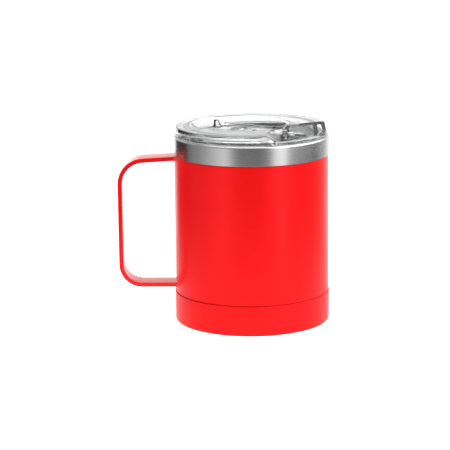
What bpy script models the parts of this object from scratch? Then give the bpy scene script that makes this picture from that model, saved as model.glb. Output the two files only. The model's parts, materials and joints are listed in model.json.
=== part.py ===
"""Insulated travel mug: a double-wall vacuum cup with a strip handle and a clear press-in slide lid.

Metres, +Z up. The origin is the centre of the flat base, on the cup's axis. The handle points along -X.
The lid is modelled in its own turned frame, in which +X runs from the axis to the drinking hole.
"""

import math

import bmesh
import bpy
from mathutils import Matrix, Vector

MM = 0.001
GAP = 0.3 * MM
ROUND = 60
FINE_ARC = 10
COARSE_ARC = 3

# Cup: heights above the base and radii about the axis.
BODY_R = 41.5 * MM
PROUD = 0.45 * MM
SHELL_WALL = 0.6 * MM
SEAM_Z = 16.5 * MM
BAND_Z = 91.15 * MM
RIM_Z = 101.5 * MM
LINER_R = 38.0 * MM
LINER_WALL = 0.5 * MM
LINER_FLOOR_Z = 9.5 * MM
LINER_FILLET = 5.0 * MM
LIP_R = 1.2 * MM
BASE_EDGE_R = 1.5 * MM
BASE_SHEET = 0.6 * MM
NECK_DROP = 0.75 * MM
VACUUM_BASE_Z = 5.0 * MM
BASE_GROOVE_IN_R = 29.0 * MM
BASE_GROOVE_OUT_R = 33.0 * MM
BASE_GROOVE = 0.6 * MM
EDGE_BREAK = 0.2 * MM

# The vacuum base: a rimmed disc with a dimple and port, its solder bead, and the getter on top.
DISC_SHEET = 0.5 * MM
DISC_RIM = 2.0 * MM
DISC_RIM_DROP = 0.5 * MM
DIMPLE_R = 5.0 * MM
DIMPLE_RISE = 0.8 * MM
PORT_R = 0.8 * MM
BEAD_R = 3.5 * MM
BEAD_SLOPE = 1.0 * MM
GETTER_X = 18.0 * MM
GETTER_R = 5.0 * MM
GETTER_HIGH = 1.6 * MM
GETTER_EDGE = 0.4 * MM

# Handle: a flat strip bent to a rectangle with round corners.
STRIP_WIDTH = 13.4 * MM
STRIP_THICK = 2.4 * MM
STRIP_EDGE = 0.5 * MM
GRIP_X = -72.0 * MM
ARM_TOP_Z = 90.7 * MM
ARM_LOW_Z = 18.9 * MM
ARM_TOP_SLOPE = math.radians(2.9)
ARM_LOW_SLOPE = math.radians(0.3)
CORNER_TOP_R = 14.2 * MM
CORNER_LOW_R = 12.5 * MM

# Lid: all of it stands in the turned frame, with the drinking hole along +X.
LID_TURN = math.radians(-34.0)
LID_TOP_Z = 106.8 * MM
LID_SHEET = 2.0 * MM
LID_R = 40.5 * MM
FLANGE_R = 40.9 * MM
FLANGE_HIGH = 1.1 * MM
SKIRT_IN_R = 38.4 * MM
PLUG_R = 35.5 * MM
PLUG_FOOT_Z = 92.5 * MM
PLUG_RIB = 0.8 * MM
LID_EDGE = 0.6 * MM
FLOOR_DROP = 5.5 * MM
DISH_R = 23.6 * MM
DISH_X = -6.4 * MM
POCKET_HALF = 10.3 * MM
BITE_R = 44.6 * MM
BITE_X = 63.4 * MM
BITE_SLOPE = 6.4 * MM
SPOUT_FLOOR_R = 36.0 * MM
HOLE_X = 28.8 * MM
HOLE_R = 3.6 * MM
VENT_R = 1.0 * MM
VENT_Y = 17.0 * MM

# Gasket: a band with two lips; each lip's heights are from the band's foot.
GASKET_BAND = 0.8 * MM
GASKET_LIPS = (1.0 * MM, 3.2 * MM)
GASKET_LIP_RISE = 0.5 * MM
GASKET_LIP_THICK = 0.5 * MM
GASKET_LIP_BACK = 1.3 * MM

# Slider: a plate between two rails, with an arched tongue that runs under the bridge.
PLATE_HALF = 10.0 * MM
PLATE_THICK = 1.6 * MM
PLATE_REAR_X = -20.2 * MM
PLATE_FRONT_X = 9.0 * MM
TONGUE_HALF = 6.4 * MM
TONGUE_SIDE = 0.8 * MM
TONGUE_RISE = 2.1 * MM
RAIL_THICK = 1.2 * MM
RAIL_LIP = 1.0 * MM
RAIL_LIP_THICK = 0.9 * MM
THUMB_X = -8.4 * MM
THUMB_HALF_X = 3.0 * MM
THUMB_HALF_Y = 7.0 * MM
THUMB_HIGH = 1.2 * MM
SEAL_IN_R = 4.5 * MM
SEAL_WIDTH = 0.9 * MM
SEAL_HIGH = 1.0 * MM

# Sizes that follow from the ones above.
BAND_R = BODY_R + PROUD
SHELL_IN_R = BODY_R - SHELL_WALL
NECK_R = BAND_R - LINER_WALL - GAP
NECK_IN_R = NECK_R - SHELL_WALL
FOOT_NECK_R = BAND_R - BASE_SHEET - GAP
FOOT_NECK_IN_R = FOOT_NECK_R - SHELL_WALL
PLUG_IN_R = PLUG_R - LID_SHEET
SEAT_Z = RIM_Z + GAP
FLOOR_Z = LID_TOP_Z - FLOOR_DROP
FLOOR_LOW_Z = FLOOR_Z - LID_SHEET
PLATEAU_LOW_Z = LID_TOP_Z - LID_SHEET
SHOULDER_R = LINER_R - GAP
SPOUT_LIP_Z = SEAT_Z + FLANGE_HIGH
SLIDER_Z = FLOOR_Z + 0.5 * MM
TUNNEL_PLAY = 0.35 * MM
ABOVE_LID_Z = LID_TOP_Z + LID_SHEET
BELOW_LID_Z = PLUG_FOOT_Z - LID_SHEET


def make_material(name, colour, roughness, metallic=0.0, alpha=1.0):
    """A Principled material with one colour, roughness and metallic value."""
    made = bpy.data.materials.new(name)
    made.use_nodes = True
    shader = made.node_tree.nodes["Principled BSDF"]
    shader.inputs["Base Color"].default_value = (*colour, 1.0)
    shader.inputs["Roughness"].default_value = roughness
    shader.inputs["Metallic"].default_value = metallic
    shader.inputs["Alpha"].default_value = alpha
    return made


def make_object(name, shape, finish=None, parent=None):
    """Turns a bmesh into an object with outward faces; one with no finish is a cutter."""
    bmesh.ops.recalc_face_normals(shape, faces=shape.faces)
    mesh = bpy.data.meshes.new(name)
    shape.to_mesh(mesh)
    shape.free()
    mesh.shade_smooth()
    mesh.set_sharp_from_angle(angle=math.radians(35.0))
    made = bpy.data.objects.new(name, mesh)
    bpy.context.scene.collection.objects.link(made)
    made.parent = parent
    if finish:
        mesh.materials.append(finish)
    else:
        made.hide_render = True
        made.display_type = "WIRE"
    return made


def turned(name, profile, finish=None, parent=None, centre_x=0.0):
    """Spins a (radius, height) profile about Z and closes it unless both its ends are on the axis."""
    shape = bmesh.new()
    points = [shape.verts.new((r, 0.0, z)) for r, z in profile]
    edges = [shape.edges.new(pair) for pair in zip(points, points[1:])]
    if profile[0][0] > 0.0:
        edges.append(shape.edges.new((points[-1], points[0])))
    bmesh.ops.spin(shape, geom=points + edges, cent=(0, 0, 0), axis=(0, 0, 1), angle=math.tau,
                   steps=ROUND, use_merge=True, use_duplicate=False)
    bmesh.ops.remove_doubles(shape, verts=shape.verts, dist=0.001 * MM)
    bmesh.ops.translate(shape, verts=shape.verts, vec=(centre_x, 0.0, 0.0))
    return make_object(name, shape, finish, parent)


def prism(name, outline, low, high, finish=None, parent=None, turn=Matrix.Identity(3)):
    """Extrudes a flat outline of (x, y) points from z = low to z = high, then turns it."""
    shape = bmesh.new()
    face = shape.faces.new([shape.verts.new((x, y, low)) for x, y in outline])
    raised = bmesh.ops.extrude_face_region(shape, geom=[face])["geom"]
    corners = [item for item in raised if isinstance(item, bmesh.types.BMVert)]
    bmesh.ops.translate(shape, verts=corners, vec=(0.0, 0.0, high - low))
    bmesh.ops.rotate(shape, verts=shape.verts, matrix=turn)
    return make_object(name, shape, finish, parent)


def cut(target, cutter, operation="DIFFERENCE"):
    """Adds an exact Boolean to target."""
    step = target.modifiers.new(cutter.name, "BOOLEAN")
    step.operation = operation
    step.solver = "EXACT"
    step.object = cutter


def arc(x, y, radius, start, end, steps=FINE_ARC):
    """Points on a circle from angle start to angle end, both included."""
    angles = [start + (end - start) * i / steps for i in range(steps + 1)]
    return [(x + radius * math.cos(a), y + radius * math.sin(a)) for a in angles]


def fillet(x, y, radius, start_deg, end_deg):
    """A coarse arc for the edges of a turned profile, in degrees."""
    return arc(x, y, radius, math.radians(start_deg), math.radians(end_deg), COARSE_ARC)


def circle(x, radius):
    """A closed round outline about (x, 0)."""
    return arc(x, 0.0, radius, 0.0, math.tau * (1 - 1 / ROUND), ROUND - 1)


def ring(inner, outer, low, high):
    """The profile of a plain ring."""
    return [(inner, low), (outer, low), (outer, high), (inner, high)]


def clear_scene():
    for old in list(bpy.data.objects):
        bpy.data.objects.remove(old, do_unlink=True)


def make_liner(steel):
    """The drinking cup: its mouth rolls out over the shell's neck and comes down as the bare band."""
    inside_top = RIM_Z - LIP_R
    wall_r = LINER_R + LINER_WALL
    corner_r = LINER_R - LINER_FILLET
    corner_z = LINER_FLOOR_Z + LINER_FILLET
    band_in_r = BAND_R - LINER_WALL
    lip_low = LIP_R - LINER_WALL
    profile = [(0.0, LINER_FLOOR_Z)]
    profile += fillet(corner_r, corner_z, LINER_FILLET, -90, 0)
    profile += fillet(LINER_R + LIP_R, inside_top, LIP_R, 180, 90)
    profile += fillet(BAND_R - LIP_R, inside_top, LIP_R, 90, 0)
    profile += [(BAND_R, BAND_Z), (band_in_r, BAND_Z)]
    profile += fillet(BAND_R - LIP_R, inside_top, lip_low, 0, 90)
    profile += fillet(LINER_R + LIP_R, inside_top, lip_low, 90, 180)
    profile += fillet(corner_r, corner_z, wall_r - corner_r, 0, -90)
    profile += [(0.0, LINER_FLOOR_Z - LINER_WALL)]
    turned("inner_liner", profile, steel)


def make_shell(paint):
    """The painted tube, stepped in to pass under the band above and into the base cup below."""
    shoulder_top = BAND_Z - GAP
    shoulder_low = SEAM_Z + GAP / 2
    low_end = VACUUM_BASE_Z - NECK_DROP
    profile = [(FOOT_NECK_IN_R, low_end), (FOOT_NECK_R, low_end), (FOOT_NECK_R, shoulder_low)]
    profile += [(BODY_R - EDGE_BREAK, shoulder_low), (BODY_R, shoulder_low + EDGE_BREAK)]
    profile += [(BODY_R, shoulder_top - EDGE_BREAK), (BODY_R - EDGE_BREAK, shoulder_top)]
    profile += [(NECK_R, shoulder_top)]
    profile += [(NECK_R, RIM_Z - LIP_R), (NECK_IN_R, RIM_Z - LIP_R)]
    profile += [(NECK_IN_R, shoulder_top - SHELL_WALL), (SHELL_IN_R, shoulder_top - 2 * SHELL_WALL)]
    profile += [(SHELL_IN_R, shoulder_low + 2 * SHELL_WALL), (FOOT_NECK_IN_R, shoulder_low + SHELL_WALL)]
    turned("outer_shell", profile, paint)


def make_vacuum_parts(steel, getter_grey, solder):
    """The disc that closes the vacuum space, the bead in its port and the getter on top of it."""
    rim_r = FOOT_NECK_IN_R - GAP
    rim_in_r = rim_r - DISC_RIM
    low = VACUUM_BASE_Z
    rim_low = low - DISC_RIM_DROP
    raised = low + DIMPLE_RISE
    slope_r = DIMPLE_R + DIMPLE_RISE
    step_r = rim_in_r - DIMPLE_RISE
    profile = [(PORT_R, raised), (DIMPLE_R, raised), (slope_r, low), (step_r, low)]
    profile += [(rim_in_r, rim_low), (rim_r, rim_low), (rim_r, rim_low + DISC_SHEET)]
    profile += [(rim_in_r, rim_low + DISC_SHEET), (step_r, low + DISC_SHEET), (slope_r, low + DISC_SHEET)]
    profile += [(DIMPLE_R, raised + DISC_SHEET), (PORT_R, raised + DISC_SHEET)]
    turned("vacuum_base", profile, steel)

    bead_top = raised - GAP
    stem_r = PORT_R - GAP
    profile = [(0.0, low - GAP), (BEAD_R - BEAD_SLOPE, low - GAP / 2), (BEAD_R, bead_top)]
    profile += [(stem_r, bead_top), (stem_r, bead_top + DISC_SHEET), (0.0, bead_top + DISC_SHEET)]
    turned("port_seal", profile, solder)

    getter_low = low + DISC_SHEET + GAP
    getter_top = getter_low + GETTER_HIGH
    profile = [(0.0, getter_low), (GETTER_R, getter_low), (GETTER_R, getter_top - GETTER_EDGE)]
    profile += [(GETTER_R - GETTER_EDGE, getter_top), (0.0, getter_top)]
    turned("getter", profile, getter_grey, centre_x=GETTER_X)


def make_base_cap(paint):
    """The painted base cup: flat to stand on, with one pressed ring groove underneath."""
    top = SEAM_Z - GAP / 2
    edge_z = top - EDGE_BREAK
    inner_r = BAND_R - BASE_SHEET
    in_slope = BASE_GROOVE_IN_R + BASE_GROOVE
    out_slope = BASE_GROOVE_OUT_R - BASE_GROOVE
    profile = [(0.0, 0.0), (BASE_GROOVE_IN_R, 0.0), (in_slope, BASE_GROOVE)]
    profile += [(out_slope, BASE_GROOVE), (BASE_GROOVE_OUT_R, 0.0)]
    profile += fillet(BAND_R - BASE_EDGE_R, BASE_EDGE_R, BASE_EDGE_R, -90, 0)
    profile += [(BAND_R, edge_z), (BAND_R - EDGE_BREAK, top), (inner_r + EDGE_BREAK, top), (inner_r, edge_z)]
    profile += fillet(BAND_R - BASE_EDGE_R, BASE_EDGE_R, BASE_EDGE_R - BASE_SHEET, 0, -90)
    profile += [(BASE_GROOVE_OUT_R, BASE_SHEET), (out_slope, BASE_SHEET + BASE_GROOVE)]
    profile += [(in_slope, BASE_SHEET + BASE_GROOVE), (BASE_GROOVE_IN_R, BASE_SHEET), (0.0, BASE_SHEET)]
    turned("base_cap", profile, paint)


def corner_arc(before, corner, after, radius):
    """The arc of a given radius that joins the lines before-corner and corner-after."""
    back = (before - corner).normalized()
    ahead = (after - corner).normalized()
    half = back.angle(ahead) / 2
    centre = corner + (back + ahead).normalized() * (radius / math.sin(half))
    first = corner + back * (radius / math.tan(half)) - centre
    last = corner + ahead * (radius / math.tan(half)) - centre
    sweep = first.angle_signed(last)
    steps = [sweep * i / FINE_ARC for i in range(FINE_ARC + 1)]
    return [centre + Matrix.Rotation(-a, 2) @ first for a in steps]


def make_handle(paint):
    """A chamfered flat strip swept along three straight runs and two round corners, in the XZ plane."""
    half = STRIP_THICK / 2
    root_x = -BODY_R + STRIP_THICK
    grip = GRIP_X + half
    arm = root_x - grip
    top_root = Vector((root_x, ARM_TOP_Z - half))
    top_corner = Vector((grip, ARM_TOP_Z - half - arm * math.tan(ARM_TOP_SLOPE)))
    low_corner = Vector((grip, ARM_LOW_Z + half + arm * math.tan(ARM_LOW_SLOPE)))
    low_root = Vector((root_x, ARM_LOW_Z + half))
    path = [top_root]
    path += corner_arc(top_root, top_corner, low_corner, CORNER_TOP_R - half)
    path += corner_arc(top_corner, low_corner, low_root, CORNER_LOW_R - half)
    path += [low_root]

    flat = half - STRIP_EDGE
    side = STRIP_WIDTH / 2
    face = side - STRIP_EDGE
    section = [(half, -face), (half, face), (flat, side), (-flat, side)]
    section += [(-half, face), (-half, -face), (-flat, -side), (flat, -side)]
    shape = bmesh.new()
    loops = []
    for i, point in enumerate(path):
        along = (path[min(i + 1, len(path) - 1)] - path[max(i - 1, 0)]).normalized()
        across = Vector((along.y, -along.x))
        places = [point + across * out for out, _ in section]
        loops.append([shape.verts.new((p.x, y, p.y)) for p, (_, y) in zip(places, section)])
    for near, far in zip(loops, loops[1:]):
        for i in range(len(section)):
            j = (i + 1) % len(section)
            shape.faces.new((near[i], near[j], far[j], far[i]))
    shape.faces.new(loops[0])
    shape.faces.new(loops[-1])
    handle = make_object("handle", shape, paint)
    cut(handle, turned("cut_handle_ends", ring(BODY_R / 2, BODY_R + GAP, 0.0, RIM_Z)))


def keyhole(grow=0.0):
    """The finger dish with the slider's pocket behind it, as one outline."""
    half = POCKET_HALF + grow
    radius = DISH_R + grow
    rear_r = PLUG_IN_R + grow
    reach = math.pi - math.asin(half / radius)
    rear = math.pi - math.asin(half / rear_r)
    outline = arc(DISH_X, 0.0, radius, -reach, reach, ROUND)
    return outline + arc(0.0, 0.0, rear_r, rear, math.tau - rear)


def bite(name, low, grow, parent):
    """The cone whose near side is the spout's sloping wall, moved out by grow and cut off at z = low."""
    lean = BITE_SLOPE / FLOOR_DROP
    wall = BITE_R + grow * math.hypot(1.0, lean)
    foot = wall - lean * (LID_TOP_Z - low)
    top = wall + lean * (ABOVE_LID_Z - LID_TOP_Z)
    profile = [(0.0, low), (foot, low), (top, ABOVE_LID_Z), (0.0, ABOVE_LID_Z)]
    return turned(name, profile, parent=parent, centre_x=BITE_X)


def arch(play=0.0):
    """The tongue's section as (y, z): straight sides with a half-ellipse on top."""
    spring = SLIDER_Z + TONGUE_SIDE
    low = SLIDER_Z - play
    crown = arc(0.0, 0.0, 1.0, 0.0, math.pi)
    half, rise = TONGUE_HALF + play, TONGUE_RISE + play
    return [(half, low)] + [(c * half, spring + s * rise) for c, s in crown] + [(-half, low)]


def along_x(name, section, start, end, finish=None, parent=None):
    """Extrudes a section of (y, z) points along X from start to end."""
    turn = Matrix(((0, 0, 1), (1, 0, 0), (0, 1, 0)))
    return prism(name, section, start, end, finish, parent, turn)


def make_rails(lid):
    """Two hooked rails that stand on the dish's floor and hold the slider's plate down."""
    foot = FLOOR_Z - RAIL_THICK / 2
    under = SLIDER_Z + PLATE_THICK + GAP
    top = under + RAIL_LIP_THICK
    outer = POCKET_HALF + RAIL_THICK
    hook = POCKET_HALF - RAIL_LIP
    section = [(POCKET_HALF, foot), (outer, foot), (outer, top), (hook, top), (hook, under)]
    section += [(POCKET_HALF, under)]
    start = DISH_X - math.sqrt(DISH_R**2 - outer**2) - RAIL_LIP
    end = PLATE_FRONT_X - RAIL_LIP
    left = along_x("join_rail_left", section, start, end, parent=lid)
    right = along_x("join_rail_right", [(-y, z) for y, z in section], start, end, parent=lid)
    return left, right


def make_lid(clear, silicone, lid):
    """The clear lid: a turned blank, hollowed below, with the dish, bite, tunnel and holes cut into it."""
    foot_r = PLUG_R + PLUG_RIB
    foot_top = PLUG_FOOT_Z + LID_EDGE
    profile = [(0.0, PLUG_FOOT_Z), (foot_r, PLUG_FOOT_Z), (foot_r, foot_top), (PLUG_R, foot_top)]
    profile += [(PLUG_R, FLOOR_LOW_Z), (SHOULDER_R, FLOOR_LOW_Z), (SHOULDER_R, SEAT_Z)]
    profile += [(FLANGE_R, SEAT_Z), (FLANGE_R, SPOUT_LIP_Z), (LID_R, SPOUT_LIP_Z + LID_EDGE / 2)]
    profile += [(LID_R, LID_TOP_Z - LID_EDGE), (LID_R - LID_EDGE, LID_TOP_Z), (0.0, LID_TOP_Z)]
    body = turned("lid_body", profile, clear, lid)

    grown_bite = bite("cut_grown_bite", FLOOR_LOW_Z, LID_SHEET, lid)
    grown_keyhole = prism("cut_grown_keyhole", keyhole(LID_SHEET), FLOOR_LOW_Z, ABOVE_LID_Z, parent=lid)
    inside_plug = turned("cut_inside_plug", [(0.0, BELOW_LID_Z), (PLUG_IN_R, BELOW_LID_Z),
                                             (PLUG_IN_R, PLATEAU_LOW_Z), (0.0, PLATEAU_LOW_Z)], parent=lid)
    cut(inside_plug, grown_keyhole)
    cut(inside_plug, grown_bite)
    skirt_low = FLOOR_LOW_Z - GAP
    under_skirt = turned("cut_under_skirt", ring(PLUG_R + GAP, SKIRT_IN_R, skirt_low, PLATEAU_LOW_Z),
                         parent=lid)
    cut(under_skirt, bite("cut_wide_bite", skirt_low - GAP, LID_SHEET, lid))
    dish = prism("cut_dish", keyhole(), FLOOR_Z, ABOVE_LID_Z, parent=lid)
    spout = bite("cut_spout", FLOOR_Z, 0.0, lid)
    lip = ring(SPOUT_FLOOR_R, BITE_X, FLOOR_LOW_Z, SPOUT_LIP_Z)
    cut(spout, turned("cut_round_spout_lip", lip, parent=lid))
    bridge_x = BITE_X - BITE_R
    tunnel = along_x("cut_tunnel", arch(TUNNEL_PLAY), bridge_x - TONGUE_HALF,
                     bridge_x + BITE_SLOPE + LID_SHEET, parent=lid)
    hole = prism("cut_drinking_hole", circle(HOLE_X, HOLE_R), BELOW_LID_Z, ABOVE_LID_Z, parent=lid)
    vent = prism("cut_vent", arc(DISH_X, VENT_Y, VENT_R, 0.0, math.tau * (1 - 1 / FINE_ARC), FINE_ARC - 1),
                 BELOW_LID_Z, ABOVE_LID_Z, parent=lid)
    for cutter in (inside_plug, under_skirt, dish, spout, tunnel, hole, vent):
        cut(body, cutter)
    for rail in make_rails(lid):
        cut(body, rail, "UNION")

    # The gasket: a band round the plug with two lips that reach the liner's wall.
    band_in = PLUG_R + GAP
    band_out = band_in + GASKET_BAND
    low = foot_top + GAP
    profile = [(band_in, low), (band_out, low)]
    for lip in GASKET_LIPS:
        tip = low + lip + GASKET_LIP_RISE
        profile += [(band_out, low + lip), (SHOULDER_R, tip), (SHOULDER_R, tip + GASKET_LIP_THICK)]
        profile += [(band_out, low + lip + GASKET_LIP_BACK)]
    profile += [(band_out, FLOOR_LOW_Z - GAP), (band_in, FLOOR_LOW_Z - GAP)]
    turned("lid_gasket", profile, silicone, lid)


def make_tongue(slide):
    """The tongue: half the arch's section carried out along one side, round the nose and back."""
    half_arch = arch()[: FINE_ARC // 2 + 2]
    start = PLATE_FRONT_X - TONGUE_HALF
    turns = [math.pi * (i / FINE_ARC - 0.5) for i in range(FINE_ARC + 1)]
    rows = [[(start, -y, z) for y, z in half_arch]]
    rows += [[(HOLE_X + y * math.cos(a), y * math.sin(a), z) for y, z in half_arch] for a in turns]
    rows += [[(start, y, z) for y, z in half_arch]]
    shape = bmesh.new()
    grid = [[shape.verts.new(point) for point in row] for row in rows]
    for near, far in zip(grid, grid[1:]):
        for i in range(len(half_arch) - 1):
            shape.faces.new((near[i], far[i], far[i + 1], near[i + 1]))
    shape.faces.new(grid[0] + grid[-1][-2::-1])
    shape.faces.new([row[0] for row in grid])
    bmesh.ops.remove_doubles(shape, verts=shape.verts, dist=0.001 * MM)
    return make_object("join_tongue", shape, parent=slide)


def make_slider(clear, silicone, slide):
    """The slider: a plate with an arc behind, an arched tongue in front and a thumb bar on top."""
    top = SLIDER_Z + PLATE_THICK
    rear_r = PLUG_IN_R
    spread = math.asin(PLATE_HALF / rear_r)
    rear = arc(PLATE_REAR_X + rear_r, 0.0, rear_r, math.pi - spread, math.pi + spread)
    outline = rear + [(PLATE_FRONT_X, -PLATE_HALF), (PLATE_FRONT_X, PLATE_HALF)]
    slider = prism("slider", outline, SLIDER_Z, top, clear, slide)
    foot = top - PLATE_THICK / 2
    crest = top + THUMB_HIGH
    lean = THUMB_HALF_X / 3
    section = [(THUMB_X - THUMB_HALF_X, foot), (THUMB_X + THUMB_HALF_X, foot)]
    section += [(THUMB_X + THUMB_HALF_X - lean, crest), (THUMB_X - THUMB_HALF_X + lean, crest)]
    upright = Matrix(((1, 0, 0), (0, 0, 1), (0, 1, 0)))
    thumb = prism("join_thumb_bar", section, -THUMB_HALF_Y, THUMB_HALF_Y, parent=slide, turn=upright)
    for joined in (make_tongue(slide), thumb):
        cut(slider, joined, "UNION")
    groove_in = SEAL_IN_R - GAP
    groove_out = SEAL_IN_R + SEAL_WIDTH + GAP
    seal_low = FLOOR_Z + GAP
    seal_top = seal_low + SEAL_HIGH
    cut(slider, turned("cut_seal_groove", ring(groove_in, groove_out, seal_low, seal_top + GAP),
                       parent=slide, centre_x=HOLE_X))
    turned("slider_seal", ring(SEAL_IN_R, SEAL_IN_R + SEAL_WIDTH, seal_low, seal_top),
           silicone, slide, centre_x=HOLE_X)


def make_mug():
    clear_scene()
    steel = make_material("brushed_steel", (0.56, 0.56, 0.57), 0.3, metallic=1.0)
    bare_steel = make_material("bare_steel", (0.45, 0.45, 0.46), 0.45, metallic=1.0)
    paint = make_material("red_powder_coat", (0.78, 0.01, 0.014), 0.42)
    getter_grey = make_material("getter_grey", (0.16, 0.16, 0.17), 0.8)
    solder = make_material("solder", (0.62, 0.63, 0.64), 0.4, metallic=1.0)
    clear = make_material("clear_plastic", (0.93, 0.94, 0.94), 0.05, alpha=0.35)
    silicone = make_material("clear_silicone", (0.85, 0.86, 0.86), 0.5, alpha=0.7)

    make_liner(steel)
    make_shell(paint)
    make_vacuum_parts(bare_steel, getter_grey, solder)
    make_base_cap(paint)
    make_handle(paint)

    lid = bpy.data.objects.new("lid_lift", None)
    slide = bpy.data.objects.new("slider_slide", None)
    for empty in (lid, slide):
        bpy.context.scene.collection.objects.link(empty)
    lid.rotation_euler.z = LID_TURN
    slide.parent = lid
    make_lid(clear, silicone, lid)
    make_slider(clear, silicone, slide)


make_mug()
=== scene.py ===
"""Insulated travel mug with a strip handle and a clear slide lid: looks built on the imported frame."""

import json
import math

import bmesh
import bpy
import numpy as np
from mathutils import Matrix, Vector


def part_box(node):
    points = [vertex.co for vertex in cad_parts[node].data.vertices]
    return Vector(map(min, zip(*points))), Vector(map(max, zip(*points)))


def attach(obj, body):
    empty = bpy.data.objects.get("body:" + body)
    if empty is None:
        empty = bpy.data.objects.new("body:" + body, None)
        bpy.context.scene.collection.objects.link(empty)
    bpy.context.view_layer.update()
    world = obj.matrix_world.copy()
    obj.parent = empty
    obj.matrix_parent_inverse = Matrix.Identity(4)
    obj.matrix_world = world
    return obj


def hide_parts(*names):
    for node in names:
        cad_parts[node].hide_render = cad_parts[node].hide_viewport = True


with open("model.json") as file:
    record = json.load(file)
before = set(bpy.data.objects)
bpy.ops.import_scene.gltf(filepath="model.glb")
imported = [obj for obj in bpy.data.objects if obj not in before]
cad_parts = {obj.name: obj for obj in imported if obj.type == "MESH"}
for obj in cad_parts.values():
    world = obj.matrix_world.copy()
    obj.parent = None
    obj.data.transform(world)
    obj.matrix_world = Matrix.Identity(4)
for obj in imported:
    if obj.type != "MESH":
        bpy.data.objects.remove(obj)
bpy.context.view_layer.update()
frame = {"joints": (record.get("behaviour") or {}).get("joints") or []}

bl_info = {
    "name": "Insulated travel mug",
    "version": (1, 0, 0),
    "blender": (4, 5, 0),
    "location": "3D View > Sidebar > Travel mug",
    "description": "Builds the mug, its handle and its clear slide lid, piece by piece",
    "category": "Object",
}

MM = 0.001
AROUND = 256
ARC_STEP = math.radians(7.5)
TOUCH = 1e-9
SMOOTH_DEG = 35.0
MOULDING_SHARP_DEG = 20.0

LINER_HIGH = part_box("inner_liner")[1]
SHELL_LOW, SHELL_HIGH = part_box("outer_shell")
CAP_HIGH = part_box("base_cap")[1]
HANDLE_LOW, HANDLE_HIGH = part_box("handle")
LID_LOW, LID_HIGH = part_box("lid_body")
GASKET_LOW, GASKET_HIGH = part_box("lid_gasket")
SEAL_LOW, SEAL_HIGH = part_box("slider_seal")
DISC_LOW, DISC_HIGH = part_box("vacuum_base")
GETTER_LOW, GETTER_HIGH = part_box("getter")
BEAD_LOW, BEAD_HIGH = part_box("port_seal")
SLIDE_AXIS = next(j["axis"] for j in frame["joints"] if j["name"] == "slider_slide")
LID_TURN = math.atan2(-SLIDE_AXIS[1], -SLIDE_AXIS[0])


# ---------------------------------------------------------------- shapes

def arc(x, y, radius, start, end, steps):
    """Points (x + r cos a, y + r sin a), with a going evenly from start to end, both included."""
    a = np.linspace(start, end, steps + 1)
    return np.stack([x + radius * np.cos(a), y + radius * np.sin(a)], axis=1)


def rounded(corners, closed=False):
    """A line through (x, y, radius) corners. Each round corner is an arc that touches both of its sides:
    its centre stands on the bisector, radius / sin(half the corner's angle) from the corner."""
    corners = np.array(corners, float)
    points = corners[:, :2]
    made = []
    for i, (corner, radius) in enumerate(zip(points, corners[:, 2])):
        at_end = not closed and i in (0, len(points) - 1)
        if radius <= 0 or at_end:
            made.append(corner[None])
            continue
        back = points[i - 1] - corner
        ahead = points[(i + 1) % len(points)] - corner
        back, ahead = back / np.hypot(*back), ahead / np.hypot(*ahead)
        half = math.acos(np.clip(back @ ahead, -1, 1)) / 2
        middle = (back + ahead) / np.hypot(*(back + ahead))
        centre = corner + middle * radius / math.sin(half)
        first = corner + back * radius / math.tan(half) - centre
        last = corner + ahead * radius / math.tan(half) - centre
        start = math.atan2(first[1], first[0])
        sweep = (math.atan2(last[1], last[0]) - start + math.pi) % math.tau - math.pi
        steps = max(2, math.ceil(abs(sweep) / ARC_STEP))
        made.append(arc(*centre, radius, start, start + sweep, steps))
    return np.concatenate(made)


def new_piece(name, points, faces):
    """Puts points and faces into a mesh object whose faces all point outwards."""
    mesh = bpy.data.meshes.new(name)
    mesh.from_pydata(points.tolist(), [], faces)
    shape = bmesh.new()
    shape.from_mesh(mesh)
    bmesh.ops.recalc_face_normals(shape, faces=shape.faces)
    if shape.calc_volume(signed=True) < 0:
        bmesh.ops.reverse_faces(shape, faces=shape.faces)
    shape.to_mesh(mesh)
    shape.free()
    mesh.shade_smooth()
    mesh.set_sharp_from_angle(angle=math.radians(SMOOTH_DEG))
    made = bpy.data.objects.new(name, mesh)
    bpy.context.scene.collection.objects.link(made)
    return made


def grid_faces(rows, columns, wrap_rows, wrap_columns):
    """Quads between neighbours of a rows x columns grid of point numbers, closed round where it wraps."""
    i = np.arange(rows if wrap_rows else rows - 1)[:, None]
    j = np.arange(columns if wrap_columns else columns - 1)[None, :]
    i2, j2 = (i + 1) % rows, (j + 1) % columns
    quads = np.stack([i * columns + j, i * columns + j2, i2 * columns + j2, i2 * columns + j], axis=-1)
    return quads.reshape(-1, 4).tolist()


def turned(name, profile, centre_x=0.0, around=None):
    """Turns (r, z) points about an upright axis: the point at angle t is (cx + r cos t, r sin t, z).
    Ends on the axis become one pole each; a profile with both ends off the axis closes on itself."""
    around = around or AROUND
    profile = np.array(profile, float)
    on_axis = profile[:, 0] < TOUCH
    rings = profile[~on_axis]
    t = np.linspace(0, math.tau, around, endpoint=False)
    points = np.stack([centre_x + rings[:, :1] * np.cos(t), rings[:, :1] * np.sin(t),
                       np.repeat(rings[:, 1:], around, axis=1)], axis=-1).reshape(-1, 3)
    faces = grid_faces(len(rings), around, not on_axis.any(), True)
    here = np.arange(around)
    for pole, ring in ((0, 0), (-1, len(rings) - 1)):
        if on_axis[pole]:
            points = np.vstack([points, [centre_x, 0.0, profile[pole, 1]]])
            fan = np.stack([np.full(around, len(points) - 1), ring * around + here,
                            ring * around + (here + 1) % around], axis=1)
            faces += fan.tolist()
    return new_piece(name, points, faces)


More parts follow.
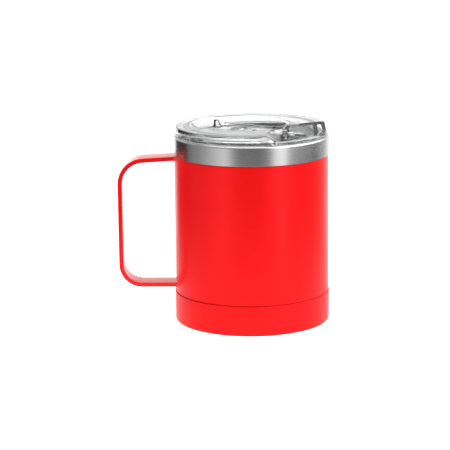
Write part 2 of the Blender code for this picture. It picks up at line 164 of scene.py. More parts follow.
def outward(outline):
    """Unit normals of a closed outline: the chord between each point's neighbours, turned a quarter."""
    chord = np.roll(outline, -1, axis=0) - np.roll(outline, 1, axis=0)
    x, y = outline.T
    turn = 1.0 if np.sum(x * np.roll(y, -1) - y * np.roll(x, -1)) > 0 else -1.0
    normal = np.stack([chord[:, 1], -chord[:, 0]], axis=1) * turn
    return normal / np.linalg.norm(normal, axis=1, keepdims=True)


def raised(name, outline, section):
    """Carries a (distance out, height) section round a closed outline and caps it below and above:
    each point is the outline's point plus its outward normal times the distance, at that height."""
    section = np.array(section, float)
    spread = outline[None] + outward(outline)[None] * section[:, :1, None]
    heights = np.repeat(section[:, 1], len(outline)).reshape(len(section), -1, 1)
    points = np.concatenate([spread, heights], axis=-1).reshape(-1, 3)
    faces = grid_faces(len(section), len(outline), False, True)
    count = len(outline)
    faces += [list(range(count)), list(range(len(points) - count, len(points)))]
    return new_piece(name, points, faces)


def carried(name, rows):
    """Skins rows of equal point counts into one closed body with flat ends; rows is (rows, points, 3)."""
    count = rows.shape[1]
    points = rows.reshape(-1, 3)
    faces = grid_faces(len(rows), count, False, True)
    faces += [list(range(count)), list(range(len(points) - count, len(points)))]
    return new_piece(name, points, faces)


def settle(piece):
    """Replaces a piece's mesh with what its modifiers make of it."""
    bpy.context.view_layer.update()
    graph = bpy.context.evaluated_depsgraph_get()
    old = piece.data
    made = bpy.data.meshes.new_from_object(piece.evaluated_get(graph))
    piece.modifiers.clear()
    piece.data = made
    made.name = piece.name
    bpy.data.meshes.remove(old)


def carve(piece, tool, operation="DIFFERENCE"):
    """Applies one exact Boolean and deletes the tool."""
    step = piece.modifiers.new("carve", "BOOLEAN")
    step.operation = operation
    step.solver = "EXACT"
    step.object = tool
    settle(piece)
    mesh = tool.data
    bpy.data.objects.remove(tool)
    bpy.data.meshes.remove(mesh)


def clean_moulding(piece):
    """Welds stray doubles after the Booleans, turns the piece to its place and keeps its flats flat."""
    shape = bmesh.new()
    shape.from_mesh(piece.data)
    bmesh.ops.dissolve_degenerate(shape, dist=0.2e-6, edges=shape.edges)
    bmesh.ops.triangulate(shape, faces=[f for f in shape.faces if len(f.verts) > 4])
    bmesh.ops.rotate(shape, verts=shape.verts, matrix=Matrix.Rotation(LID_TURN, 3, "Z"))
    shape.to_mesh(piece.data)
    shape.free()
    piece.data.shade_smooth()
    piece.data.set_sharp_from_angle(angle=math.radians(MOULDING_SHARP_DEG))
    weigh = piece.modifiers.new("flat_faces", "WEIGHTED_NORMAL")
    weigh.keep_sharp = True
    weigh.weight = 100
    settle(piece)


# ---------------------------------------------------------------- finishes

class Socket:
    """A shader output. A sign between two of them, or one and a number, adds that Math node."""

    def __init__(self, finish, output):
        self.finish = finish
        self.output = output

    def calc(self, operation, first, second):
        """One Math node between first and second."""
        return self.finish.add("ShaderNodeMath", {"operation": operation}, {0: first, 1: second})

    def __add__(self, other):
        return self.calc("ADD", self, other)

    def __radd__(self, other):
        return self.calc("ADD", other, self)

    def __sub__(self, other):
        return self.calc("SUBTRACT", self, other)

    def __rsub__(self, other):
        return self.calc("SUBTRACT", other, self)

    def __mul__(self, other):
        return self.calc("MULTIPLY", self, other)

    def __rmul__(self, other):
        return self.calc("MULTIPLY", other, self)


class Finish:
    """A node tree in the making, for a material or the world."""

    def __init__(self, name, world=False):
        self.made = bpy.data.worlds.new(name) if world else bpy.data.materials.new(name)
        self.made.use_nodes = True
        self.tree = self.made.node_tree
        self.tree.nodes.clear()

    def add(self, kind, settings=None, sockets=None, output=0):
        """Adds a node: its settings first, then its sockets' values or links; returns one output."""
        node = self.tree.nodes.new(kind)
        for key, value in (settings or {}).items():
            if key == "stops":
                self.set_stops(node.color_ramp, value)
            else:
                setattr(node, key, value)
        for key, value in (sockets or {}).items():
            if isinstance(value, Socket):
                self.tree.links.new(value.output, node.inputs[key])
            else:
                node.inputs[key].default_value = value
        return Socket(self, node.outputs[output]) if node.outputs else None

    @staticmethod
    def set_stops(ramp, stops):
        """A ramp's (place, grey) stops, in order."""
        for _ in stops[2:]:
            ramp.elements.new(1.0)
        for element, (place, grey) in zip(ramp.elements, stops):
            element.position = place
            element.color = (grey, grey, grey, 1.0)

    def place(self, scale=(1.0, 1.0, 1.0)):
        """The object's own coordinates, stretched by scale."""
        spot = self.add("ShaderNodeTexCoord", output="Object")
        return self.add("ShaderNodeMapping", {"vector_type": "POINT"}, {"Vector": spot, "Scale": scale})

    def grain(self, size, scale=(1.0, 1.0, 1.0), detail=2.0, roughness=0.5):
        """Noise whose lumps are about size across, stretched by scale."""
        return self.add("ShaderNodeTexNoise", {"noise_dimensions": "3D"},
                        {"Vector": self.place(scale), "Scale": 1.0 / size, "Detail": detail,
                         "Roughness": roughness})

    def fade(self, value, start, end, low=0.0, high=1.0):
        """Goes smoothly from low to high while value goes from start to end."""
        return self.add("ShaderNodeMapRange", {"interpolation_type": "SMOOTHSTEP"},
                        {"Value": value, "From Min": start, "From Max": end, "To Min": low, "To Max": high})

    def fade_outwards(self, start, end, low=0.0, high=1.0):
        """The same fade over the distance from the object's origin."""
        spot = self.add("ShaderNodeTexCoord", output="Object")
        reach = self.add("ShaderNodeVectorMath", {"operation": "LENGTH"}, {0: spot}, output="Value")
        return self.fade(reach, start, end, low, high)

    def blend(self, share, first, second):
        """first and second colours mixed by share."""
        return self.add("ShaderNodeMix", {"data_type": "RGBA"}, {0: share, 6: first, 7: second}, output=2)

    def bumps(self, height, distance, strength=1.0, under=None):
        """A Bump node over a height, on top of an earlier one."""
        sockets = {"Height": height, "Distance": distance, "Strength": strength}
        if under:
            sockets["Normal"] = under
        return self.add("ShaderNodeBump", None, sockets)

    def surface(self, sockets):
        """Closes the material with a Principled shader and returns it."""
        shader = self.add("ShaderNodeBsdfPrincipled", None, sockets)
        self.add("ShaderNodeOutputMaterial", None, {"Surface": shader})
        return self.made


def rgb(colour, factor=1.0):
    """A colour with its alpha, each channel times factor."""
    return tuple(channel * factor for channel in colour) + (1.0,)


def red_powder_coat(name, colour, specular, clear_coat):
    """Smooth powder coat: fine orange peel over a slow swell, with a faint drift in tone and gloss and a
    soft pale sheen at grazing angles. clear_coat is the weight of a glossy layer on top."""
    coat = Finish(name)
    drift = coat.grain(14 * MM, detail=2.0)
    speck = coat.grain(0.5 * MM, detail=3.0, roughness=0.6)
    tone = coat.blend(drift * 0.6 + speck * 0.4, rgb(colour, 0.93), rgb(colour, 1.04))
    swell = coat.bumps(coat.grain(1.6 * MM, detail=1.0), 0.02 * MM, 0.5)
    peel = coat.bumps(speck, 0.02 * MM, 0.6, swell)
    return coat.surface({"Base Color": tone, "Roughness": 0.24 + speck * 0.08 + drift * 0.03,
                         "Metallic": 0.3, "Normal": peel, "Specular IOR Level": specular, "IOR": 1.5,
                         "Sheen Weight": 0.35, "Sheen Roughness": 0.2,
                         "Coat Weight": clear_coat, "Coat Roughness": 0.06})


def brushed_steel(colour):
    """Satin stainless, turned round the axis: short fine lines and a few longer scratches."""
    steel = Finish("brushed_steel")
    lines = steel.grain(0.14 * MM, scale=(0.012, 0.012, 1.0), detail=2.0, roughness=0.6)
    long_lines = steel.grain(0.6 * MM, scale=(0.01, 0.01, 1.0), detail=1.0)
    cloud = steel.grain(9 * MM, detail=2.0)
    tone = steel.blend(lines * 0.6 + cloud * 0.4, rgb(colour, 0.93), rgb(colour, 1.05))
    turned_lines = steel.bumps(lines + long_lines * 0.5, 0.004 * MM, 0.5)
    return steel.surface({"Base Color": tone, "Metallic": 1.0,
                          "Roughness": 0.2 + lines * 0.08 + cloud * 0.05, "Anisotropic": 0.7,
                          "Anisotropic Rotation": 0.25, "Normal": turned_lines})


def bare_steel(colour):
    """Mill-finish sheet, as pressed: dull, with rolling grain one way."""
    steel = Finish("bare_steel")
    mill = steel.grain(0.5 * MM, scale=(1.0, 0.08, 1.0), detail=3.0)
    stain = steel.grain(7 * MM, detail=3.0)
    tone = steel.blend(stain, rgb(colour, 0.85), rgb(colour, 1.08))
    return steel.surface({"Base Color": tone, "Metallic": 1.0,
                          "Roughness": 0.34 + mill * 0.14 + stain * 0.08,
                          "Normal": steel.bumps(mill, 0.01 * MM, 0.5)})


def sintered_getter(colour):
    """Pressed and sintered powder: matt, dark and granular."""
    pill = Finish("sintered_getter")
    powder = pill.grain(0.16 * MM, detail=4.0, roughness=0.7)
    tone = pill.blend(powder, rgb(colour, 0.6), rgb(colour, 1.5))
    return pill.surface({"Base Color": tone, "Metallic": 0.3, "Roughness": 0.72 + powder * 0.16,
                         "Normal": pill.bumps(powder, 0.05 * MM, 0.8)})


def solder_bead(colour):
    """Solder that has frozen with a slightly pulled, frosted skin."""
    bead = Finish("solder_bead")
    skin = bead.grain(0.9 * MM, detail=3.0)
    frost = bead.grain(0.12 * MM, detail=2.0)
    tone = bead.blend(skin, rgb(colour, 0.85), rgb(colour, 1.08))
    return bead.surface({"Base Color": tone, "Metallic": 1.0, "Roughness": 0.24 + frost * 0.2,
                         "Normal": bead.bumps(skin, 0.06 * MM, 0.6)})


def clear_plastic(name, colour):
    """Moulded clear copolyester: polished, with faint flow swell and wiping scuffs that haze it a little."""
    moulding = Finish(name)
    flow = moulding.grain(11 * MM, detail=1.0)
    scuff = moulding.grain(0.35 * MM, scale=(0.08, 1.0, 1.0), detail=3.0, roughness=0.65)
    haze = moulding.fade(scuff, 0.56, 0.72)
    swell = moulding.bumps(flow, 0.05 * MM, 0.35)
    scratched = moulding.bumps(haze, 0.002 * MM, 0.3, swell)
    return moulding.surface({"Base Color": moulding.blend(flow, rgb(colour, 0.985), rgb(colour, 1.0)),
                             "Roughness": 0.012 + haze * 0.05, "Normal": scratched,
                             "Transmission Weight": 1.0, "IOR": 1.54})


def clear_silicone(colour):
    """Soft milky silicone: satin skin with the grain of a blasted mould."""
    rubber = Finish("clear_silicone")
    skin = rubber.grain(0.18 * MM, detail=3.0)
    cloud = rubber.grain(5 * MM, detail=2.0)
    return rubber.surface({"Base Color": rubber.blend(cloud, rgb(colour, 0.93), rgb(colour, 1.02)),
                           "Roughness": 0.38 + skin * 0.16, "Normal": rubber.bumps(skin, 0.01 * MM, 0.5),
                           "Transmission Weight": 0.75, "IOR": 1.41})


def dress(piece, finish, body, slot, *nodes):
    """Gives a piece its finish and its body, and hides the CAD nodes it stands for; slot is not used."""
    piece.data.materials.clear()
    piece.data.materials.append(finish)
    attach(piece, body)
    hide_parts(*nodes)
    return piece


# ---------------------------------------------------------------- what a user may change

def distance(name, description, default):
    """A length that a user may change."""
    return bpy.props.FloatProperty(name=name, description=description, default=default, subtype="DISTANCE",
                                   unit="LENGTH", precision=5)


def tint(name, description, default):
    """A colour that a user may change."""
    return bpy.props.FloatVectorProperty(name=name, description=description, default=default, size=3,
                                         subtype="COLOR", min=0.0, max=1.0)


class MugSizes(bpy.types.PropertyGroup):
    """Sizes of the cup and its handle."""
    body_radius: distance("Body radius", "Painted tube, outside", SHELL_HIGH.x)
    band_radius: distance("Band radius", "Bare band and base cup, outside", LINER_HIGH.x)
    rim_height: distance("Rim height", "Top of the rolled rim above the base", LINER_HIGH.z)
    band_foot: distance("Band foot", "Height of the lower edge of the bare band", 91.15 * MM)
    mouth_radius: distance("Mouth radius", "Inside of the drinking cup", 38.0 * MM)
    seam_height: distance("Seam height", "Top of the base cup", CAP_HIGH.z)
    strip_width: distance("Strip width", "Width of the handle's strip", HANDLE_HIGH.y - HANDLE_LOW.y)
    strip_thickness: distance("Strip thickness", "Thickness of the handle's strip", 2.4 * MM)


class LidSizes(bpy.types.PropertyGroup):
    """Sizes of the clear lid and its slider."""
    wall: distance("Wall", "Thickness of the moulded walls", 2.0 * MM)
    dish_radius: distance("Dish radius", "The round finger dish", 25.6 * MM)
    hole_radius: distance("Hole radius", "The drinking hole", 3.6 * MM)
    edge_round: distance("Edge round", "Rounding of the lid's upper edges", 0.6 * MM)


class MugColours(bpy.types.PropertyGroup):
    """Base colours of the finishes."""
    paint: tint("Paint", "Powder coat of the tube, base cup and handle", (0.80, 0.0015, 0.003))
    steel: tint("Steel", "Bare stainless band and drinking cup", (0.61, 0.61, 0.615))
    plastic: tint("Plastic", "Clear lid and slider", (0.985, 0.99, 0.99))
    silicone: tint("Silicone", "Gasket and slider seal", (0.86, 0.87, 0.87))


# ---------------------------------------------------------------- pieces

class MUG_OT_cup(bpy.types.Operator):
    """Drinking cup with its rolled rim and bare band, painted tube, and painted base cup"""
    bl_idname = "mug.cup"
    bl_label = "Cup"

    def execute(self, context):
        sizes, colours = context.scene.mug_sizes, context.scene.mug_colours
        steel = brushed_steel(colours.steel)
        paint = red_powder_coat("red_powder_coat", colours.paint, 0.26, 0.0)
        inner, outer, top = sizes.mouth_radius, sizes.band_radius, sizes.rim_height
        sheet, roll, cut = 0.5 * MM, 1.2 * MM, 0.12 * MM
        floor_z, floor_round = 9.5 * MM, 5.0 * MM
        liner = rounded([
            (0, floor_z, 0), (inner, floor_z, floor_round), (inner, top, roll), (outer, top, roll),
            (outer, sizes.band_foot, cut), (outer - sheet, sizes.band_foot, cut),
            (outer - sheet, top - sheet, roll - sheet), (inner + sheet, top - sheet, roll - sheet),
            (inner + sheet, floor_z - sheet, floor_round + sheet), (0, floor_z - sheet, 0)])
        dress(turned("inner_liner_satin", liner), steel, "mug", "brushed_steel", "inner_liner")

        body, wall, edge = sizes.body_radius, 0.6 * MM, 0.2 * MM
        gap, seam_gap = 0.3 * MM, 0.18 * MM
        neck, foot_neck = outer - sheet - gap, outer - wall - gap
        shoulder, low_shoulder, low_end = sizes.band_foot - gap, sizes.seam_height + seam_gap, SHELL_LOW.z
        shell = rounded([
            (foot_neck - wall, low_end, edge), (foot_neck, low_end, edge), (foot_neck, low_shoulder, edge),
            (body, low_shoulder, edge), (body, shoulder, edge), (neck, shoulder, 0.1 * MM),
            (neck, SHELL_HIGH.z, edge), (neck - wall, SHELL_HIGH.z, edge),
            (neck - wall, shoulder - wall, edge),
            (body - wall, shoulder - 2 * wall, edge), (body - wall, low_shoulder + 2 * wall, edge),
            (foot_neck - wall, low_shoulder + wall, edge)], closed=True)
        dress(turned("outer_shell_painted", shell), paint, "mug", "red_powder_coat", "outer_shell")

        ring_in, ring_out, drop = 29.0 * MM, 33.0 * MM, 0.6 * MM
        soft, edge_r, cap_top = 0.35 * MM, 1.5 * MM, sizes.seam_height
        cap = rounded([
            (0, 0, 0), (ring_in, 0, soft), (ring_in + drop, drop, soft), (ring_out - drop, drop, soft),
            (ring_out, 0, soft), (outer, 0, edge_r), (outer, cap_top, edge), (outer - wall, cap_top, edge),
            (outer - wall, wall, edge_r - wall), (ring_out, wall, soft),
            (ring_out - drop, wall + drop, soft), (ring_in + drop, wall + drop, soft),
            (ring_in, wall, soft), (0, wall, 0)])
        dress(turned("base_cap_painted", cap), paint, "mug", "red_powder_coat", "base_cap")
        return {"FINISHED"}


class MUG_OT_vacuum_parts(bpy.types.Operator):
    """Disc that closes the vacuum space, its solder bead, and the getter pill"""
    bl_idname = "mug.vacuum_parts"
    bl_label = "Vacuum parts"

    def execute(self, context):
        sheet, soft = 0.5 * MM, 0.6 * MM
        low, rim_low, rim = DISC_LOW.z + sheet, DISC_LOW.z, DISC_HIGH.x
        crest, port, dimple = DISC_HIGH.z - sheet, 0.8 * MM, 5.0 * MM
        rim_width, step_width = 2.0 * MM, 0.8 * MM
        slope, rim_in = dimple + crest - low, rim - rim_width
        step = rim_in - step_width
        under = [(port, crest, 0), (dimple, crest, soft), (slope, low, soft), (step, low, soft),
                 (rim_in, rim_low, soft), (rim, rim_low, 0)]
        over = [(r, z + sheet, soft if 0 < i < 5 else 0) for i, (r, z, _) in enumerate(under)][::-1]
        dress(turned("vacuum_base_disc", rounded(under + over, closed=True)),
              bare_steel((0.50, 0.50, 0.51)), "mug", "bare_steel", "vacuum_base")

        bead_r, stem_r, neck_z = BEAD_HIGH.x, 0.5 * MM, BEAD_HIGH.z - sheet
        bead = rounded([(0, BEAD_LOW.z, 0), (bead_r, BEAD_LOW.z, 0.5 * MM), (bead_r, neck_z, 0.12 * MM),
                        (stem_r, neck_z, 0.1 * MM), (stem_r, BEAD_HIGH.z, 0.15 * MM), (0, BEAD_HIGH.z, 0)])
        dress(turned("port_seal_bead", bead, around=96), solder_bead((0.64, 0.65, 0.66)), "mug", "solder",
              "port_seal")

        centre = (GETTER_LOW.x + GETTER_HIGH.x) / 2
        radius = (GETTER_HIGH.x - GETTER_LOW.x) / 2
        pill = rounded([(0, GETTER_LOW.z, 0), (radius, GETTER_LOW.z, 0.3 * MM),
                        (radius, GETTER_HIGH.z, 0.4 * MM), (0, GETTER_HIGH.z, 0)])
        dress(turned("getter_pill", pill, centre_x=centre, around=96), sintered_getter((0.16, 0.16, 0.17)),
              "mug", "getter_grey", "getter")
        return {"FINISHED"}


class MUG_OT_handle(bpy.types.Operator):
    """Painted flat strip, bent square and welded to the tube at both ends"""
    bl_idname = "mug.handle"
    bl_label = "Handle"

    def execute(self, context):
        sizes = context.scene.mug_sizes
        half, side = sizes.strip_thickness / 2, sizes.strip_width / 2
        root = sizes.body_radius - 0.25 * MM
        grip = HANDLE_LOW.x + half
        top, low = 90.7 * MM - half, 18.9 * MM + half
        upper_fall, lower_rise = math.radians(2.9), math.radians(0.3)
        upper_bend, lower_bend = 14.2 * MM - half, 12.5 * MM - half
        arm_start = 39.1 * MM
        run = -grip - arm_start
        top_out = top - run * math.tan(upper_fall)
        low_out = low + run * math.tan(lower_rise)
        path = rounded([(-root, top, 0), (grip, top_out, upper_bend), (grip, low_out, lower_bend),
                        (-root, low, 0)])
        length = np.concatenate([[0], np.cumsum(np.hypot(*np.diff(path, axis=0).T))])
        steps = 400
        even = np.linspace(0, length[-1], steps)
        line = np.stack([np.interp(even, length, path[:, k]) for k in (0, 1)], axis=1)
        along = np.gradient(line, axis=0)
        along /= np.linalg.norm(along, axis=1, keepdims=True)
        across = np.stack([along[:, 1], -along[:, 0]], axis=1)

        edge = 0.4 * MM
        section = rounded([(half, -side, edge), (half, side, edge), (-half, side, edge),
                           (-half, -side, edge)], closed=True)
        swell = outward(section)
        weld, weld_run, fit_run = 0.7 * MM, 1.3 * MM, 9.0 * MM
        from_end = np.minimum(even, length[-1] - even)
        near = np.clip(1 - from_end / weld_run, 0, 1)
        flare = weld * (1 - np.sqrt(1 - near**2))
        spread = section[None] + swell[None] * flare[:, None, None]
        middle = line[:, None, :] + across[:, None, :] * spread[..., :1]
        y = spread[..., 1]
        ease = np.clip(1 - from_end / fit_run, 0, 1)[:, None] ** 2
        x = middle[..., 0] + (root - np.sqrt(root**2 - y**2)) * ease
        rows = np.stack([x, y, middle[..., 1]], axis=-1)
        paint = red_powder_coat("red_powder_coat_strip", context.scene.mug_colours.paint, 0.0, 1.0)
        dress(carried("handle_strip", rows), paint, "mug", "red_powder_coat", "handle")
        return {"FINISHED"}


# The lid and the slider are made with the drinking hole along +X, and turned by LID_TURN at the end.
LID_TOP = LID_HIGH.z
SEAT_Z = 101.8 * MM
FLOOR_Z = 101.3 * MM
FLOOR_LOW_Z = 99.3 * MM
LIP_Z = 102.95 * MM
ABOVE_Z = LID_TOP + 2.0 * MM
BELOW_Z = LID_LOW.z - 2.0 * MM
PLUG_R = 35.5 * MM
DISH_X = -6.4 * MM
BITE_X = 63.4 * MM
BITE_R = 44.6 * MM
POCKET_HALF = 10.3 * MM
BITE_SLOPE = 6.4 * MM
DISH_SLOPE = 3.0 * MM
POCKET_SLOPE = 0.3 * MM
UNDER_SHARE = 0.6
HOLE_X = 28.8 * MM
SLIDER_Z = 101.8 * MM
ARCH_HALF = 6.4 * MM
ARCH_SIDE = 0.8 * MM
ARCH_RISE = 2.1 * MM
FLARE_SWEEP = math.radians(80.0)
FLARE_MARGIN = 0.003 * MM
REAR_R = 33.5 * MM
GASKET_R = PLUG_R + 0.3 * MM


def sunk(radius, slope, floor_round, top_round):
    """Section of a tool that sinks a recess from the lid's top to FLOOR_Z: a round at the floor, a wall that
    slopes out to radius, and a flare at the top that rounds the recess's upper edge and runs on above it."""
    wall = rounded([(radius - 2 * floor_round - slope, FLOOR_Z, 0), (radius - slope, FLOOR_Z, floor_round),
                    (radius, LID_TOP - top_round, 0)])
    centre_z = LID_TOP - top_round * math.sin(FLARE_SWEEP) + FLARE_MARGIN
    flare = arc(radius + top_round, centre_z, top_round, math.pi, math.pi - FLARE_SWEEP, 8)
    out, up = math.sin(FLARE_SWEEP), math.cos(FLARE_SWEEP)
    end = flare[-1] + np.array([out, up]) * top_round
    return np.concatenate([wall[:-1], flare, [end], [[end[0], ABOVE_Z]]])


def grown_wall(radius, slope, wall):
    """Outside of a sloped recess wall: lowest and highest point of the line that stands wall away."""
    lean = slope / (LID_TOP - FLOOR_Z)
    out = radius + wall * math.hypot(1, lean)
    return [(out - lean * (LID_TOP - z), z) for z in (FLOOR_LOW_Z, ABOVE_Z)]


def round_tool(name, radius, slope, top_round, centre_x, around=None):
    """A round recess tool about (centre_x, 0), closed on its axis."""
    section = sunk(radius, slope, 0.8 * MM, top_round)
    profile = np.concatenate([[[0, FLOOR_Z]], section, [[0, ABOVE_Z]]])
    return turned(name, profile, centre_x, around)


def grown_tool(name, radius, slope, wall, centre_x, around=None):
    """The round tool that leaves a wall of this thickness round a recess, seen from below."""
    low, high = grown_wall(radius, slope, wall)
    profile = rounded([(0, FLOOR_LOW_Z, 0), (*low, wall * UNDER_SHARE), (*high, 0), (0, ABOVE_Z, 0)])
    return turned(name, profile, centre_x, around)


def plain_tool(name, radius, centre_x, around):
    """A plain upright cylinder through the whole lid."""
    return turned(name, [(0, BELOW_Z), (radius, BELOW_Z), (radius, ABOVE_Z), (0, ABOVE_Z)], centre_x, around)


def round_rear(half, centre_x, corner_round, steps):
    """Rear edge of the pocket or the slider as rounded() corners: an arc of REAR_R from side to side."""
    spread = math.asin(half / REAR_R)
    rear = arc(centre_x, 0, REAR_R, math.pi - spread, math.pi + spread, steps)
    rounds = np.zeros(len(rear))
    rounds[[0, -1]] = corner_round
    return np.column_stack([rear, rounds]).tolist()


def pocket_outline():
    """The slider's pocket: straight sides, with the rear following the inside of the plug wall."""
    front_x = -12.0 * MM
    return rounded([(front_x, -POCKET_HALF, 0), (front_x, POCKET_HALF, 0)]
                   + round_rear(POCKET_HALF, 0, 0.6 * MM, 16), closed=True)


def arch_section(play, steps=24):
    """The tongue's section as (y, z): straight sides with half an ellipse on top."""
    half, rise = ARCH_HALF + play, ARCH_RISE + play
    crown = arc(0, 0, 1, 0, math.pi, steps) * (half, rise) + (0, SLIDER_Z + ARCH_SIDE)
    return np.concatenate([[(half, SLIDER_Z - play)], crown, [(-half, SLIDER_Z - play)]])


def bar(name, section, start, end):
    """A straight bar along X with a (y, z) section."""
    x = np.array([start, end])
    rows = np.stack([np.repeat(x, len(section)).reshape(2, -1), np.tile(section[:, 0], (2, 1)),
                     np.tile(section[:, 1], (2, 1))], axis=-1)
    return carried(name, rows)


class MUG_OT_lid(bpy.types.Operator):
    """Clear press-in lid: skirt, plug, finger dish with the slider's pocket, lip recess and holes"""
    bl_idname = "mug.lid"
    bl_label = "Lid"

    def execute(self, context):
        lid = context.scene.lid_sizes
        edge = lid.edge_round
        outer, flange, collar, toe = 40.5 * MM, LID_HIGH.x, 37.7 * MM, PLUG_R + 0.8 * MM
        toe_z, flange_z, outer_z = LID_LOW.z + 0.6 * MM, SEAT_Z + 1.1 * MM, SEAT_Z + 1.4 * MM
        soft, crisp = 0.3 * MM, 0.2 * MM
        body = turned("lid_body_clear", rounded([
            (0, LID_LOW.z, 0), (toe, LID_LOW.z, soft), (toe, toe_z, 0.15 * MM), (PLUG_R, toe_z, 0.1 * MM),
            (PLUG_R, FLOOR_LOW_Z, crisp), (collar, FLOOR_LOW_Z, soft), (collar, SEAT_Z, crisp),
            (flange, SEAT_Z, soft), (flange, flange_z, soft), (outer, outer_z, crisp),
            (outer, LID_TOP, edge), (0, LID_TOP, 0)]))

        self.hollow(body, lid)
        self.sink_recesses(body, lid)
        self.add_rails(body)
        clean_moulding(body)
        clear = clear_plastic("clear_lid", context.scene.mug_colours.plastic)
        dress(body, clear, "lid", "clear_plastic", "lid_body")
        return {"FINISHED"}

    @staticmethod
    def hollow(body, lid):
        """Hollows the lid from below, inside the plug and under the skirt, leaving the recesses' walls."""
        wall, under, ceiling = lid.wall, lid.wall * UNDER_SHARE, 0.8 * MM
        plateau_low, inner = LID_TOP - wall, PLUG_R - wall
        inside = turned("inside_plug", rounded([
            (0, BELOW_Z, 0), (inner, BELOW_Z, 0), (inner, plateau_low, ceiling), (0, plateau_low, 0)]))
        carve(inside, grown_tool("grown_dish", lid.dish_radius, DISH_SLOPE, wall, DISH_X))
        low_side, high_side = grown_wall(POCKET_SLOPE, POCKET_SLOPE, wall)
        carve(inside, raised("grown_pocket", pocket_outline(), rounded([
            (low_side[0] - 2 * under, FLOOR_LOW_Z, 0), (*low_side, under), (*high_side, 0)])))
        carve(inside, grown_tool("grown_bite", BITE_R, BITE_SLOPE, wall, BITE_X, 2 * AROUND))
        carve(body, inside)

        skirt_in, skirt_low = 38.4 * MM, FLOOR_LOW_Z - 0.3 * MM
        skirt = turned("under_skirt", rounded([
            (GASKET_R, skirt_low, 0), (skirt_in, skirt_low, 0), (skirt_in, plateau_low, ceiling),
            (GASKET_R, plateau_low, ceiling)], closed=True))
        grown_low, grown_high = grown_wall(BITE_R, BITE_SLOPE, wall)
        bite_low = skirt_low - 0.3 * MM
        wide = [(0, bite_low), (grown_low[0], bite_low), grown_low, grown_high, (0, ABOVE_Z)]
        carve(skirt, turned("wide_bite", wide, BITE_X, 2 * AROUND))
        carve(body, skirt)

    @staticmethod
    def sink_recesses(body, lid):
        """Sinks the finger dish, the slider's pocket, the lip recess, the slider's tunnel and the holes."""
        edge = lid.edge_round
        carve(body, round_tool("dish", lid.dish_radius, DISH_SLOPE, edge, DISH_X))
        pocket = sunk(POCKET_SLOPE, POCKET_SLOPE, 0.5 * MM, edge * 0.7)
        carve(body, raised("pocket", pocket_outline(), pocket))
        bite = round_tool("bite", BITE_R, BITE_SLOPE, edge, BITE_X, 2 * AROUND)
        lip_in, lip_out = 36.0 * MM, 60.0 * MM
        carve(bite, turned("lip", rounded([
            (lip_in, BELOW_Z, 0), (lip_out, BELOW_Z, 0), (lip_out, LIP_Z, 0), (lip_in, LIP_Z, 0.5 * MM)],
            closed=True)))
        carve(body, bite)
        bridge, play, beyond = BITE_X - BITE_R, 0.35 * MM, 2.0 * MM
        carve(body, bar("tunnel", arch_section(play), bridge - ARCH_HALF, bridge + BITE_SLOPE + beyond))
        carve(body, plain_tool("drinking_hole", lid.hole_radius, HOLE_X, 96))
        vent_r, vent_y = 1.0 * MM, 17.0 * MM
        vent = plain_tool("vent", vent_r, 0.0, 32)
        vent.data.transform(Matrix.Translation((DISH_X, vent_y, 0)))
        carve(body, vent)

    @staticmethod
    def add_rails(body):
        """Adds the two hooked rails that hold the slider's plate down."""
        foot, under_hook = FLOOR_Z - 0.6 * MM, SLIDER_Z + 1.9 * MM
        top, out, hook = under_hook + 0.9 * MM, POCKET_HALF + 1.2 * MM, POCKET_HALF - 1.0 * MM
        start, end = -24.0 * MM, 8.0 * MM
        rail = rounded([(POCKET_HALF, foot, 0), (out, foot, 0), (out, top, 0.3 * MM), (hook, top, 0.25 * MM),
                        (hook, under_hook, 0.2 * MM), (POCKET_HALF, under_hook, 0.15 * MM)], closed=True)
        for side in (1.0, -1.0):
            carve(body, bar("rail", rail * (side, 1.0), start, end), "UNION")


class MUG_OT_seals(bpy.types.Operator):
    """Silicone lip ring round the plug, and the small ring under the slider"""
    bl_idname = "mug.seals"
    bl_label = "Seals"

    def execute(self, context):
        rubber = clear_silicone(context.scene.mug_colours.silicone)
        low, high, tip = GASKET_LOW.z, GASKET_HIGH.z, GASKET_HIGH.x
        outer, soft, root_round = GASKET_R + 0.8 * MM, 0.2 * MM, 0.15 * MM
        corners = [(GASKET_R, low, soft), (outer, low, soft)]
        for lip in (low + 1.0 * MM, low + 3.2 * MM):
            corners += [(outer, lip, root_round), (tip, lip + 0.5 * MM, soft),
                        (tip, lip + 1.0 * MM, soft), (outer, lip + 1.3 * MM, root_round)]
        corners += [(outer, high, soft), (GASKET_R, high, soft)]
        dress(turned("lid_gasket_lips", rounded(corners, closed=True)), rubber, "lid", "clear_silicone",
              "lid_gasket")

        in_r, out_r, soft = 4.5 * MM, 5.4 * MM, 0.25 * MM
        ring = turned("slider_seal_ring", rounded([
            (in_r, SEAL_LOW.z, soft), (out_r, SEAL_LOW.z, soft), (out_r, SEAL_HIGH.z, soft),
            (in_r, SEAL_HIGH.z, soft)], closed=True), HOLE_X, 96)
        ring.data.transform(Matrix.Rotation(LID_TURN, 4, "Z"))
        dress(ring, rubber, "slider", "clear_silicone", "slider_seal")
        return {"FINISHED"}


